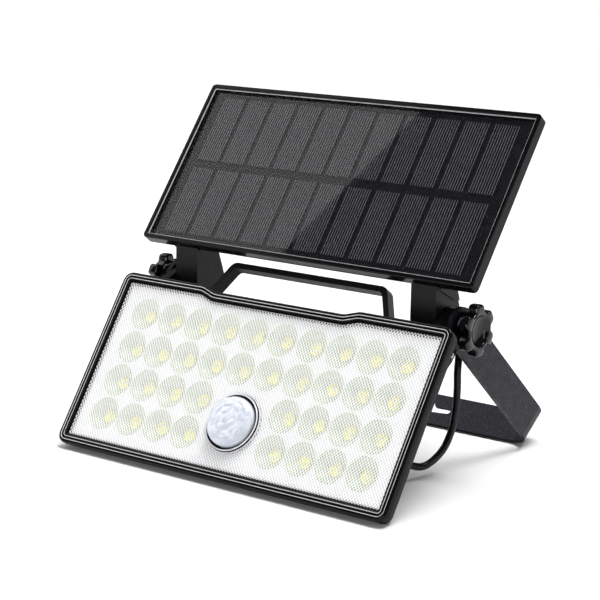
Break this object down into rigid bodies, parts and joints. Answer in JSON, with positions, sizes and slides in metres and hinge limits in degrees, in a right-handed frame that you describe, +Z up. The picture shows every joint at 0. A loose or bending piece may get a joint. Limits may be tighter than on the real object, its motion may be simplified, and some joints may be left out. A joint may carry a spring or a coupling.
{
  "type": "solar flood light",
  "caption": "Folding solar flood light: a framed lamp head with motion sensor, a tilting solar panel above it and a bent strap stand on one knob-clamped pivot line.",
  "frame": {"origin": "centre of the bounding box in X and Y, on the floor plane", "axes": "+X to the lamp's right as seen from its front, +Y from the lamp face towards the stand, +Z up"},
  "size_m": [0.2014, 0.1624, 0.1704],
  "materials": {
    "black_plastic": "gloss black moulding",
    "satin_plastic": "fine textured black moulding",
    "powder_coat": "charcoal powder coat",
    "clear_lens": "clear prismatic sheet",
    "reflector_white": "white reflector moulding",
    "board_white": "white solder mask with yellow lamps",
    "board_green": "green solder mask",
    "dome_milky": "milky faceted dome",
    "steel": "plated steel",
    "brass": "turned brass",
    "rubber": "black rubber",
    "cell_wrap": "shrink wrap",
    "solar_cell": "black cell sheet",
    "panel_glass": "clear flat cover"
  },
  "bodies": {
    "bracket": {"mounting_bracket": "powder_coat"},
    "head": {"front_bezel": "black_plastic", "front_lens": "clear_lens", "lens_gasket": "rubber", "reflector_tray": "reflector_white", "led_board": "board_white", "pir_collar": "black_plastic", "pir_dome": "dome_milky", "pir_sensor": "steel", "rear_shell": "satin_plastic", "control_board": "board_green", "battery_cell_1": "cell_wrap", "battery_cell_2": "cell_wrap", "usb_port": "steel", "handle": "satin_plastic", "handle_screw_left": "steel", "handle_screw_right": "steel", "housing_screw_1": "steel", "housing_screw_2": "steel", "housing_screw_3": "steel", "housing_screw_4": "steel", "housing_screw_5": "steel", "housing_screw_6": "steel", "lamp_gland": "black_plastic", "cable": "rubber"},
    "panel": {"panel_frame": "black_plastic", "panel_glass": "panel_glass", "solar_cells": "solar_cell", "panel_back": "satin_plastic", "panel_gland": "black_plastic", "panel_leg_left": "satin_plastic", "panel_leg_right": "satin_plastic", "leg_screw_1": "steel", "leg_screw_2": "steel", "leg_screw_3": "steel", "leg_screw_4": "steel", "hinge_bolt_left": "steel", "hinge_bolt_right": "steel", "friction_washer_left": "rubber", "friction_washer_right": "rubber"},
    "left_clamp": {"clamp_washer_left": "steel"},
    "right_clamp": {"clamp_washer_right": "steel"},
    "left_knob": {"knob_left": "black_plastic", "knob_insert_left": "brass"},
    "right_knob": {"knob_right": "black_plastic", "knob_insert_right": "brass"},
    "button": {"power_button": "rubber"},
    "flap": {"usb_flap": "rubber"}
  },
  "joints": [
    {"name": "bracket_tilt", "type": "hinge", "parent": "bracket", "child": "head", "pos_m": [0, -0.00179, 0.07409], "axis": [1, 0, 0], "range_deg": [-90, 72]},
    {"name": "panel_tilt", "type": "hinge", "parent": "head", "child": "panel", "pos_m": [0, -0.00179, 0.07409], "axis": [-1, 0, 0], "range_deg": [-25, 90], "deforming": ["cable"]},
    {"name": "left_clamp_travel", "type": "slide", "parent": "panel", "child": "left_clamp", "axis": [-1, 0, 0], "range_m": [0, 0.001]},
    {"name": "right_clamp_travel", "type": "slide", "parent": "panel", "child": "right_clamp", "axis": [1, 0, 0], "range_m": [0, 0.001]},
    {"name": "left_knob_turn", "type": "hinge", "parent": "left_clamp", "child": "left_knob", "pos_m": [-0.0894, -0.00179, 0.07409], "axis": [1, 0, 0], "range_deg": [-360, 0]},
    {"name": "right_knob_turn", "type": "hinge", "parent": "right_clamp", "child": "right_knob", "pos_m": [0.0894, -0.00179, 0.07409], "axis": [1, 0, 0], "range_deg": [0, 360]},
    {"name": "button_press", "type": "slide", "parent": "head", "child": "button", "axis": [0, -0.8181, 0.575], "range_m": [0, 0.001], "stiffness_N_per_m": 600},
    {"name": "flap_open", "type": "hinge", "parent": "head", "child": "flap", "pos_m": [-0.06, -0.04071, 0.02115], "axis": [1, 0, 0], "range_deg": [0, 100]}
  ],
  "couplings": [
    {"joint": "left_knob_turn", "follows": "left_clamp_travel", "rad_per_m": -6283.2},
    {"joint": "right_knob_turn", "follows": "right_clamp_travel", "rad_per_m": 6283.2}
  ]
}
